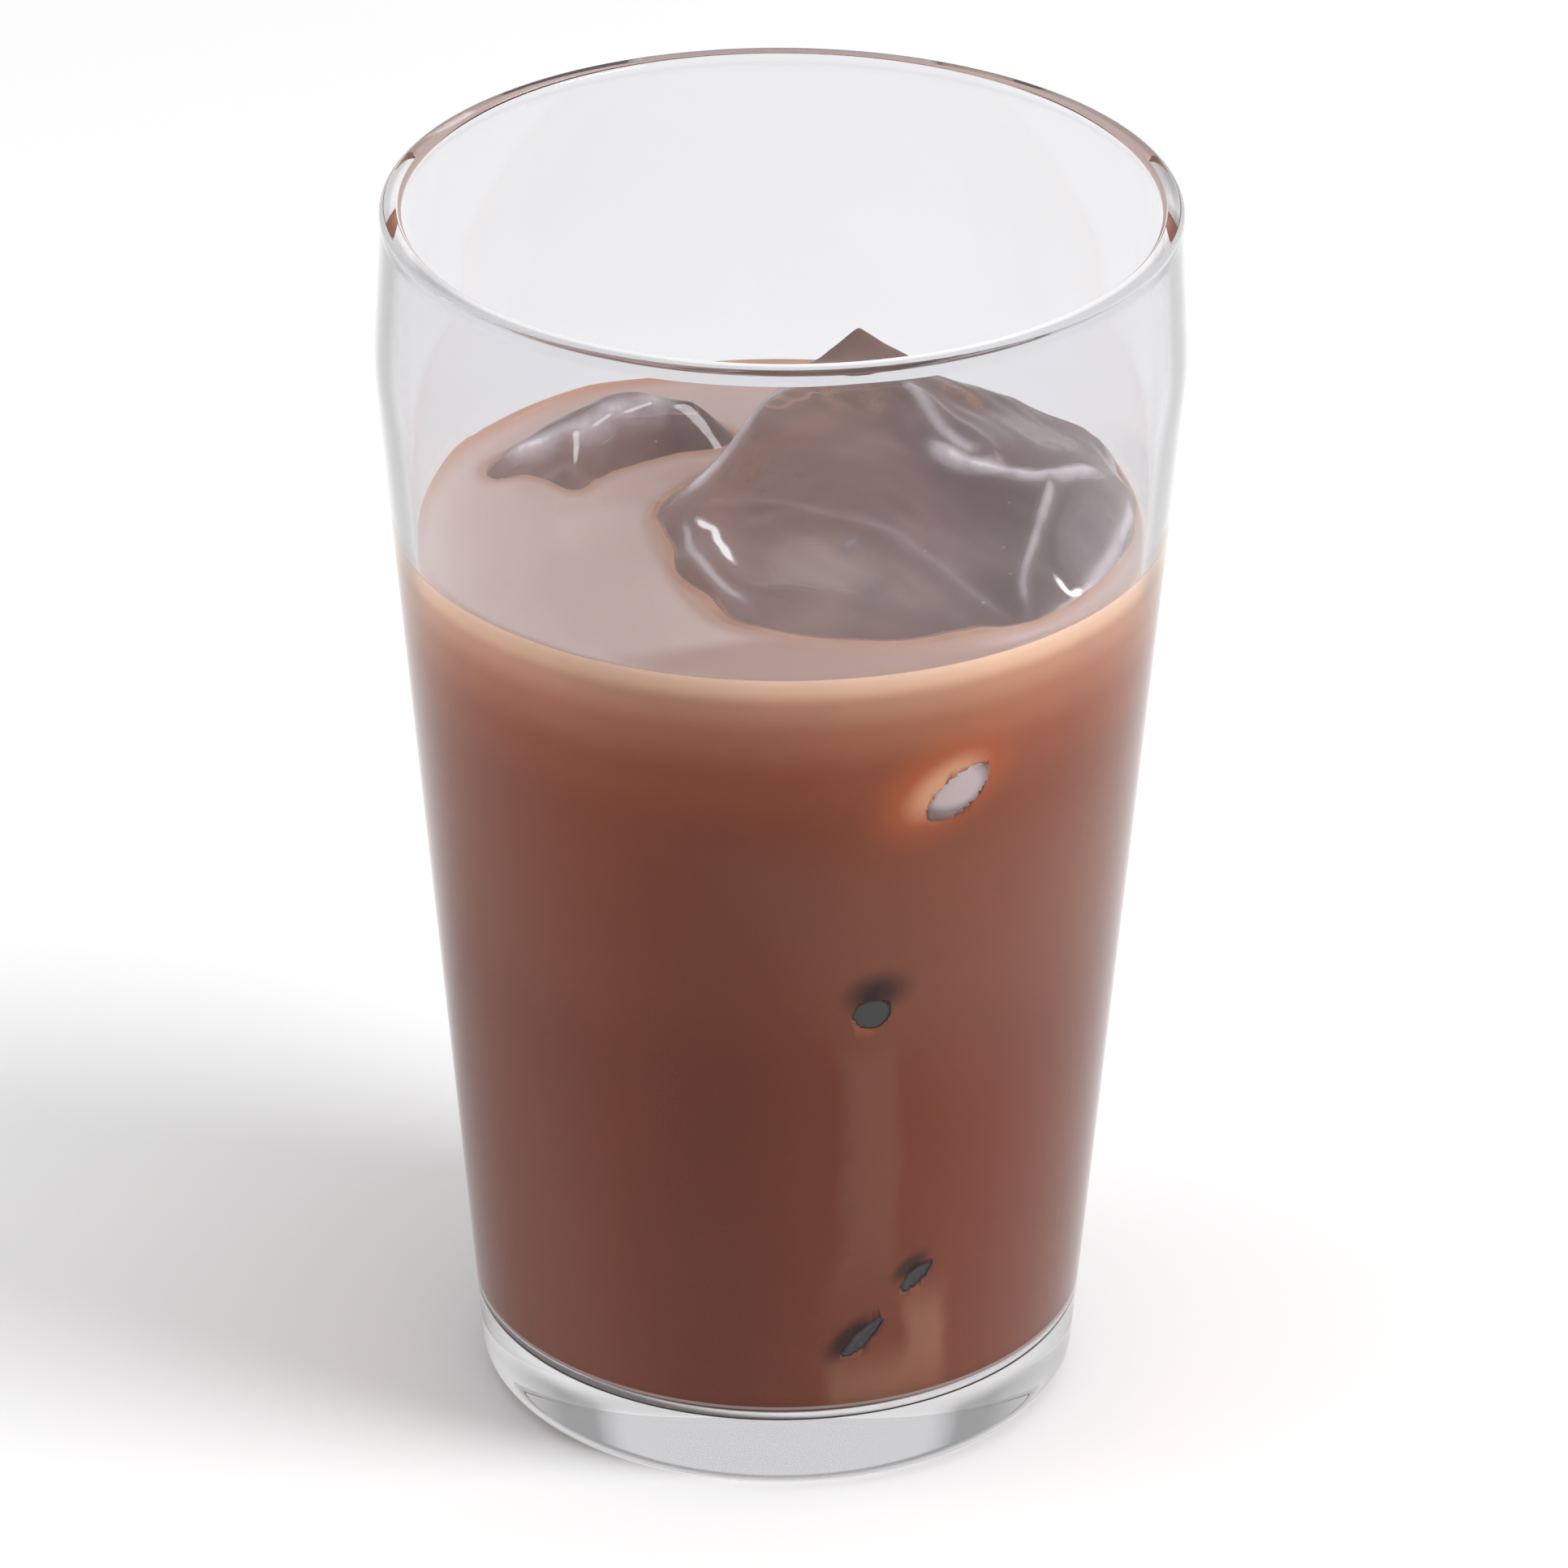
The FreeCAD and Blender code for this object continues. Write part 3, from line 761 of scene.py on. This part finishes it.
def ice_material():
    """Wet ice: clear under a thin milky film, with painted highlights along edges and ridges, painted shade
    and painted reflection on some faces, brown smears and small bubbles.
    """
    material, nodes, links = new_material("wet_ice")
    place = place_of(nodes)
    surface = SURFACE / MM
    clear = principled(nodes, Roughness=0.03, IOR=1.31, Transmission_Weight=1.0, Coat_Weight=0.4,
                       Coat_IOR=1.5)
    tone = noise(nodes, links, place, 120.0)
    links.new(blend(nodes, links, tone, (0.84, 0.74, 0.72, 1), (0.98, 0.92, 0.92, 1)),
              clear.inputs["Base Color"])
    film = principled(nodes, Roughness=0.2, IOR=1.33)
    cloud = noise(nodes, links, place, 80.0, 4.0, 0.55)
    colour = blend(nodes, links, stretch(nodes, links, cloud, 0.3, 0.7), (0.27, 0.18, 0.17, 1),
                   (0.39, 0.285, 0.26, 1))
    share = calculate(nodes, links, "ADD", calculate(nodes, links, "MULTIPLY", cloud, 0.35), 0.18)
    facing = slant(nodes)
    sheen = calculate(nodes, links, "MULTIPLY", stretch(nodes, links, facing, 0.6, 0.95), 0.75)
    share = calculate(nodes, links, "MAXIMUM", share, sheen)
    smear = stretch(nodes, links, noise(nodes, links, place, 240.0, 4.0, 0.6, (1, 0.5, 1)), 0.22, 0.72)
    for middle, size, lean, soft, amount, shade, broken in (
        ((4.0, -14.0, surface + 2.5), (13, 8, 8), -20, (0.1, 0.8), 0.60, (0.39, 0.30, 0.275), False),
        # Painted shade: the large lump's right face is darker.
        ((28.5, -7.0, surface + 2.0), (5.5, 12, 8), -12, (0.1, 0.7), 0.80, (0.155, 0.125, 0.125), False),
        # Painted reflection: the large lump's upper right face is lighter, as if it mirrored the bright sky.
        ((24.0, 5.5, surface + 7.0), (10, 5, 6), -10, (0.1, 0.7), 0.60, (0.36, 0.30, 0.30), False),
        ((6.4, -11.3, surface + 3.4), (2.6, 1.6, 4), 30, (0.1, 0.9), 0.60, (0.30, 0.25, 0.26), False),
        ((6.0, 8.6, surface + 9.4), (8.5, 5.0, 5), -8, (0.05, 0.6), 0.80, (0.36, 0.22, 0.155), True),
        ((-3.0, 2.0, surface + 4.6), (8.5, 3.6, 5), 48, (0.05, 0.6), 0.70, (0.27, 0.15, 0.11), True),
        ((16.5, 9.4, surface + 9.0), (5.2, 2.8, 3), -38, (0.05, 0.6), 0.75, (0.30, 0.17, 0.11), True),
        ((21.0, 4.4, surface + 8.2), (4.4, 1.2, 3), -14, (0.05, 0.6), 0.75, (0.26, 0.16, 0.12), True),
        ((25.6, 3.6, surface + 6.5), (1.7, 1.0, 3), 8, (0.05, 0.6), 0.70, (0.22, 0.15, 0.13), False),
        ((-8.4, -12.0, surface + 0.6), (2.2, 11, 3), 24, (0.05, 0.6), 0.70, (0.20, 0.12, 0.09), False),
        # Painted light: a pale patch where the large lump's nose meets the glass.
        ((15.8, -31.2, 75.8), (4.6, 8, 3.6), 0, (0.0, 0.5), 0.80, (0.72, 0.64, 0.66), False),
    ):
        patch = spot(nodes, links, place, middle, size, (0, 0, lean), soft)
        if broken:
            patch = calculate(nodes, links, "MULTIPLY", patch, smear)
        colour = blend(nodes, links, patch, colour, (*shade, 1))
        share = calculate(nodes, links, "MAXIMUM", share, calculate(nodes, links, "MULTIPLY", patch, amount))
    # Painted highlights: along the lumps' ridges and edges the film turns lilac, and white where strongest.
    painted_highlight = node(nodes, "ShaderNodeAttribute", attribute_name="painted_highlight").outputs["Fac"]
    grain = calculate(nodes, links, "ADD", calculate(nodes, links, "MULTIPLY", smear, 0.35), 0.72)
    painted_highlight = calculate(nodes, links, "MULTIPLY", painted_highlight, grain)
    colour = blend(nodes, links, stretch(nodes, links, painted_highlight, 0.0, 0.9), colour, (0.57, 0.50, 0.52, 1))
    colour = blend(nodes, links, stretch(nodes, links, painted_highlight, 0.85, 1.2), colour, (0.96, 0.93, 0.92, 1))
    share = calculate(nodes, links, "MAXIMUM", share, calculate(nodes, links, "MULTIPLY", painted_highlight, 0.9))
    cells = node(nodes, "ShaderNodeTexVoronoi")
    cells.inputs["Scale"].default_value = 330.0
    links.new(place, cells.inputs["Vector"])
    bubbles = stretch(nodes, links, cells.outputs["Distance"], 0.10, 0.04)
    share = calculate(nodes, links, "MAXIMUM", share, calculate(nodes, links, "MULTIPLY", bubbles, 0.6))
    # Low in the drink the ice has no film, so that it is clear there.
    _, _, height = split_place(nodes, links, place)
    clearer = stretch(nodes, links, height, 57.0 * MM, 60.0 * MM)
    share = calculate(nodes, links, "MULTIPLY", share, clearer)
    links.new(colour, film.inputs["Base Color"])
    mix = node(nodes, "ShaderNodeMixShader")
    links.new(share, mix.inputs[0])
    links.new(clear.outputs[0], mix.inputs[1])
    links.new(film.outputs[0], mix.inputs[2])
    dimple = bump(nodes, links, noise(nodes, links, place, 260.0, 2.0), 0.12 * MM, 0.4)
    links.new(dimple, clear.inputs["Normal"])
    links.new(dimple, film.inputs["Normal"])
    output(nodes, links, lamps_pass(nodes, links, mix.outputs[0], (0.90, 0.86, 0.85, 1)))
    return material


def drink_side_material():
    """The drink against the wall: pale at its top, painted light low on the right, a glow and pale streaks
    where ice touches the glass.
    """
    material, nodes, links = new_material("cocoa_side")
    place = place_of(nodes)
    across, away, height = split_place(nodes, links, place)
    down = node(nodes, "ShaderNodeMapRange")
    down.inputs["From Min"].default_value = SURFACE + CLIMB
    down.inputs["From Max"].default_value = FLOOR_TOP
    links.new(height, down.inputs["Value"])
    tint = ramp(nodes, [
        (0.0, srgb(250, 214, 190)),
        (0.012, srgb(240, 196, 164)),
        (0.035, srgb(206, 152, 122)),
        (0.075, srgb(176, 114, 84)),
        (0.13, srgb(156, 86, 56)),
        (0.21, srgb(142, 76, 48)),
        (0.40, srgb(140, 76, 50)),
        (0.52, srgb(132, 68, 45)),
        (1.0, srgb(134, 74, 54)),
    ], "EASE")
    links.new(down.outputs[0], tint.inputs[0])
    colour = tint.outputs[0]
    front = stretch(nodes, links, away, 0.0, -8 * MM)

    def layer(share, amount, shade):
        shown = calculate(nodes, links, "MULTIPLY", share, amount)
        shown = calculate(nodes, links, "MULTIPLY", shown, front)
        return blend(nodes, links, shown, colour, shade)

    # Painted light: a paler region low on the right, where light from the right falls, with a soft slanted
    # edge.
    slope = calculate(nodes, links, "MULTIPLY", height, 0.75)
    leaning = calculate(nodes, links, "ADD", across, slope)
    painted_light_right = calculate(nodes, links, "MULTIPLY", stretch(nodes, links, leaning, 38 * MM, 52 * MM),
                      stretch(nodes, links, height, 76 * MM, 64 * MM))
    painted_light_right = calculate(nodes, links, "MULTIPLY", painted_light_right, stretch(nodes, links, height, 36 * MM, 56 * MM))
    colour = layer(painted_light_right, 0.55, srgb(142, 92, 74))
    # Streaks of meltwater under each place where ice touches the glass.
    drift = noise(nodes, links, place, 130.0, 3.0, 0.5, (1, 1, 0.45))
    drift = calculate(nodes, links, "MULTIPLY", calculate(nodes, links, "SUBTRACT", drift, 0.5), 6.0 * MM)
    across = calculate(nodes, links, "ADD", across, drift)
    for left, right, low, high, amount, shade in (
        (5.4, 10.4, 22, 51, 0.85, srgb(142, 90, 68)),
        (10.8, 15.0, 9, 22, 0.85, srgb(166, 114, 90)),
        (5.4, 11.2, 6, 15.5, 0.85, srgb(160, 110, 86)),
    ):
        inside = calculate(nodes, links, "MULTIPLY",
                           stretch(nodes, links, across, (left - 0.9) * MM, (left + 0.7) * MM),
                           stretch(nodes, links, across, (right + 1.0) * MM, (right - 1.0) * MM))
        inside = calculate(nodes, links, "MULTIPLY", inside,
                           stretch(nodes, links, height, (low - 7) * MM, (low + 7) * MM))
        inside = calculate(nodes, links, "MULTIPLY", inside,
                           stretch(nodes, links, height, (high + 1) * MM, (high - 5) * MM))
        colour = layer(inside, amount, shade)
    # The glow round the upper contact, and the shade round the lower ones.
    for middle, size, lean, soft, amount, shade in (
        ((14.6, -31, 76.0), (9.5, 20, 6.2), -35, (0.0, 0.75), 0.75, srgb(196, 104, 62)),
        ((14.8, -31, 75.9), (5.6, 20, 3.2), -38, (0.05, 0.7), 0.85, srgb(232, 176, 138)),
        ((8.8, -32, 54.8), (4.2, 20, 2.9), -12, (0.0, 0.8), 0.85, srgb(50, 34, 34)),
        ((12.0, -28, 23.6), (2.8, 20, 1.3), -40, (0.0, 0.7), 0.8, srgb(52, 40, 40)),
        ((6.6, -28.5, 16.4), (4.2, 20, 1.8), -48, (0.0, 0.7), 0.85, srgb(44, 32, 34)),
    ):
        colour = layer(spot(nodes, links, place, middle, size, (0, lean, 0), soft), amount, shade)
    cloud = noise(nodes, links, place, 90.0, 5.0, 0.6, (1, 1, 0.6))
    fine = noise(nodes, links, place, 900.0, 2.0)
    mottle = calculate(nodes, links, "ADD", calculate(nodes, links, "MULTIPLY", cloud, 0.20),
                       calculate(nodes, links, "MULTIPLY", fine, 0.03))
    mottle = calculate(nodes, links, "ADD", mottle, 0.885)
    shade = node(nodes, "ShaderNodeVectorMath", operation="SCALE")
    links.new(colour, shade.inputs[0])
    links.new(mottle, shade.inputs["Scale"])
    shader = principled(nodes, Roughness=0.35, IOR=1.35)
    shader.inputs["Specular IOR Level"].default_value = 0.0
    links.new(shade.outputs[0], shader.inputs["Base Color"])
    output(nodes, links, shader.outputs[0])
    return material


def drink_under_material():
    """The drink against the thick base, where glass turns back whatever meets it at a low angle."""
    material, nodes, links = new_material("cocoa_under")
    matt = principled(nodes, Roughness=0.3, IOR=1.35)
    tone = noise(nodes, links, place_of(nodes), 120.0)
    links.new(blend(nodes, links, tone, srgb(88, 45, 33), srgb(104, 56, 42)), matt.inputs["Base Color"])
    mirror = node(nodes, "ShaderNodeBsdfGlossy")
    mirror.inputs["Roughness"].default_value = 0.0
    facing = slant(nodes)
    low = ramp(nodes, [(0.36, (0, 0, 0, 1)), (0.42, (1, 1, 1, 1))])
    links.new(facing, low.inputs[0])
    mix = node(nodes, "ShaderNodeMixShader")
    links.new(low.outputs[0], mix.inputs[0])
    links.new(matt.outputs[0], mix.inputs[1])
    links.new(mirror.outputs[0], mix.inputs[2])
    output(nodes, links, mix.outputs[0])
    return material


def drink_top_material():
    """The drink's surface: milky, with painted shade in front of the large lump and a tan fringe where it
    thins against ice and wall.
    """
    material, nodes, links = new_material("cocoa_surface")
    place = place_of(nodes)
    cloud = noise(nodes, links, place, 45.0, 4.0, 0.5, (1, 0.45, 1))
    colour = blend(nodes, links, stretch(nodes, links, cloud, 0.3, 0.7), srgb(188, 162, 155),
                   srgb(200, 176, 168))
    # Painted shade: the surface in front of the large lump is darker, as if shaded by it.
    painted_shade_before_ice = spot(nodes, links, place, (3, -28, SURFACE / MM), (22, 6, 9), (0, 0, 6), (0.0, 0.45))
    colour = blend(nodes, links, calculate(nodes, links, "MULTIPLY", painted_shade_before_ice, 0.85), colour, srgb(168, 136, 124))
    near = node(nodes, "ShaderNodeAttribute", attribute_name="by_ice")
    fringe = stretch(nodes, links, near.outputs["Fac"], 0.40, 0.98)
    colour = blend(nodes, links, fringe, colour, srgb(176, 142, 126))
    _, _, height = split_place(nodes, links, place)
    climb = stretch(nodes, links, height, SURFACE + 0.15 * MM, SURFACE + CLIMB)
    colour = blend(nodes, links, climb, colour, srgb(184, 146, 126))
    shader = principled(nodes, Roughness=0.1, IOR=1.35)
    links.new(colour, shader.inputs["Base Color"])
    shader.inputs["Subsurface Weight"].default_value = 0.35
    shader.inputs["Subsurface Radius"].default_value = (1.0, 0.55, 0.4)
    shader.inputs["Subsurface Scale"].default_value = 2.0 * MM
    output(nodes, links, shader.outputs[0])
    return material


def drink_cavity_material():
    """The drink behind the ice: tan just under the surface, and soon dark, which is painted shade; a painted
    light spot lies at the upper contact.
    """
    material, nodes, links = new_material("cocoa_behind_ice")
    place = place_of(nodes)
    _, _, height = split_place(nodes, links, place)
    # Painted shade: the drink behind the ice darkens with depth, to near black low down.
    down = node(nodes, "ShaderNodeMapRange")
    down.inputs["From Min"].default_value = SURFACE + MM
    down.inputs["From Max"].default_value = SURFACE - 45 * MM
    links.new(height, down.inputs["Value"])
    tint = ramp(nodes, [
        (0.0, srgb(184, 146, 126)),
        (0.05, srgb(162, 126, 110)),
        (0.14, srgb(152, 114, 100)),
        (0.55, srgb(134, 104, 96)),
        (0.7, srgb(36, 29, 32)),
        (1.0, srgb(26, 22, 26)),
    ])
    links.new(down.outputs[0], tint.inputs[0])
    cloud = noise(nodes, links, place, 160.0, 4.0)
    dim = node(nodes, "ShaderNodeVectorMath", operation="SCALE")
    links.new(tint.outputs[0], dim.inputs[0])
    links.new(calculate(nodes, links, "ADD", calculate(nodes, links, "MULTIPLY", cloud, 0.8), 0.55),
              dim.inputs["Scale"])
    # Painted light: a pale spot behind the large lump's nose where it meets the glass.
    painted_light_at_contact = spot(nodes, links, place, (15.8, -31.2, 75.8), (7, 20, 6), (0, 0, 0), (0.0, 0.5))
    colour = blend(nodes, links, painted_light_at_contact, dim.outputs[0], srgb(206, 184, 178))
    shader = principled(nodes, Roughness=0.4, IOR=1.35)
    shader.inputs["Specular IOR Level"].default_value = 0.1
    links.new(colour, shader.inputs["Base Color"])
    output(nodes, links, shader.outputs[0])
    return material


def floor_material():
    """A plain white floor, the same to every kind of ray."""
    material, nodes, links = new_material("pale_floor")
    shader = principled(nodes, Roughness=0.9)
    shader.inputs["Base Color"].default_value = (0.98, 0.98, 0.98, 1)
    shader.inputs["Specular IOR Level"].default_value = 0.0
    wear = noise(nodes, links, place_of(nodes), 140.0)
    links.new(bump(nodes, links, wear, 0.02 * MM), shader.inputs["Normal"])
    output(nodes, links, shader.outputs[0])
    return material


# ---------------------------------------------------------------- stage

def make_floor():
    disc = bmesh.new()
    bmesh.ops.create_circle(disc, cap_ends=True, segments=96, radius=FLOOR_SPREAD)
    mesh = bpy.data.meshes.new("floor")
    disc.to_mesh(mesh)
    disc.free()
    floor = bpy.data.objects.new("floor", mesh)
    bpy.context.scene.collection.objects.link(floor)
    floor.location.z = -UNDER_FOOT
    floor.data.materials.append(floor_material())


def make_world():
    """White all round, as the camera and the glass see it, and a softer white as it lights things.

    What the glass holds is lit straight through it, so light that a matt surface would gather
    through the glass a second time counts as none.
    """
    world = bpy.data.worlds.new("studio")
    bpy.context.scene.world = world
    world.use_nodes = True
    nodes = world.node_tree.nodes
    links = world.node_tree.links
    nodes.clear()
    path = nodes.new("ShaderNodeLightPath")

    seen = calculate(nodes, links, "MAXIMUM", path.outputs["Is Camera Ray"], path.outputs["Is Glossy Ray"])
    seen = calculate(nodes, links, "MAXIMUM", seen, path.outputs["Is Transmission Ray"])
    matt = calculate(nodes, links, "GREATER_THAN", path.outputs["Diffuse Depth"], 0.5)
    twice = calculate(nodes, links, "MULTIPLY", matt, path.outputs["Is Transmission Ray"])
    rise = calculate(nodes, links, "MULTIPLY", seen, 1.0 - SKY_LIGHT)
    level = calculate(nodes, links, "ADD", rise, SKY_LIGHT)
    once = calculate(nodes, links, "SUBTRACT", 1.0, twice)
    strength = calculate(nodes, links, "MULTIPLY", level, once)
    light = nodes.new("ShaderNodeBackground")
    links.new(strength, light.inputs["Strength"])
    end = nodes.new("ShaderNodeOutputWorld")
    links.new(light.outputs[0], end.inputs["Surface"])


def make_lamp(name, place, size, power, aim=(0, 0, 0.05)):
    data = bpy.data.lights.new(name, "AREA")
    data.shape = "DISK"
    data.size = size
    data.energy = power
    lamp = bpy.data.objects.new(name, data)
    bpy.context.scene.collection.objects.link(lamp)
    lamp.location = place
    lamp.visible_transmission = False
    lamp.rotation_euler = (Vector(aim) - Vector(place)).to_track_quat("-Z", "Y").to_euler()


# The camera looks along +Y and down. Its distance and lens give the glass the size it has in the frame.
CAMERA_ELEVATION = math.radians(26.95)
CAMERA_DISTANCE = 27.0 * (SHOULDER_CORNER - RIM_INSET)
CAMERA_LENS = 242.35
CAMERA_ROLL = math.radians(0.25)


def make_camera():
    data = bpy.data.cameras.new("camera")
    data.lens = CAMERA_LENS
    data.sensor_width = 36
    data.shift_x = 0.0029
    data.shift_y = 0.0035
    data.clip_start = 0.01
    camera = bpy.data.objects.new("camera", data)
    bpy.context.scene.collection.objects.link(camera)
    back = Vector((0, -math.cos(CAMERA_ELEVATION), math.sin(CAMERA_ELEVATION)))
    camera.location = Vector((0, 0, RIM / 2)) + back * CAMERA_DISTANCE
    turned = (-back).to_track_quat("-Z", "Y").to_matrix() @ Matrix.Rotation(CAMERA_ROLL, 3, "Z")
    camera.rotation_euler = turned.to_euler()
    bpy.context.scene.camera = camera


def finish_piece(piece, slot, *stands_for):
    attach(piece, BODY)
    if stands_for:
        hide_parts(*stands_for)


def main():
    scene = bpy.context.scene
    scene.view_settings.view_transform = "Standard"
    make_camera()
    make_floor()
    make_world()
    make_lamp("key", (0.75, -0.3, 0.85), 0.5, 8.5)
    make_lamp("fill", (-1.1, -0.1, 0.25), 0.9, 5.7)

    glass = make_glass()
    glass.data.materials.append(glass_material())
    finish_piece(glass, "clear_glass", "glass")

    nose = ((13.6, -25.6, -13.2), 4.2, 2.2, 38, 14.0)
    large = make_melting_lump("ice_lump", LARGE, 5, (nose,))
    back = make_melting_lump("ice_sliver", BACK, 8, steps=240, crown_rings=50, hull_rings=28)
    upper = make_sunken_lump("sunken_ice_upper", (5, -16, 46), UPPER_FACETS, 11,
                             (((6.9, -25.5, 53.6), 2.7, 2.9, 15, 12.0),))
    lower = make_sunken_lump("sunken_ice_lower", (4, -11, 20), LOWER_FACETS, 14,
                             (((10.2, -20.5, 22.3), 2.2, 1.1, 40, 14.0),
                              ((6.2, -21.5, 16.2), 3.2, 1.2, 46, 14.0)))
    ice = ice_material()
    for piece, stands_for in ((large, "ice_large"), (back, "ice_back"), (upper, None), (lower, None)):
        piece.data.materials.append(ice)
        finish_piece(piece, "ice", *([stands_for] if stands_for else []))

    drink = make_drink([large, back], [upper, lower])
    drink.data.materials.clear()
    for material in (drink_top_material(), drink_side_material(), drink_under_material(),
                     drink_cavity_material()):
        drink.data.materials.append(material)
    face_kinds(drink, [large, back], [upper, lower])
    finish_piece(drink, "cocoa_drink", "drink")


main()
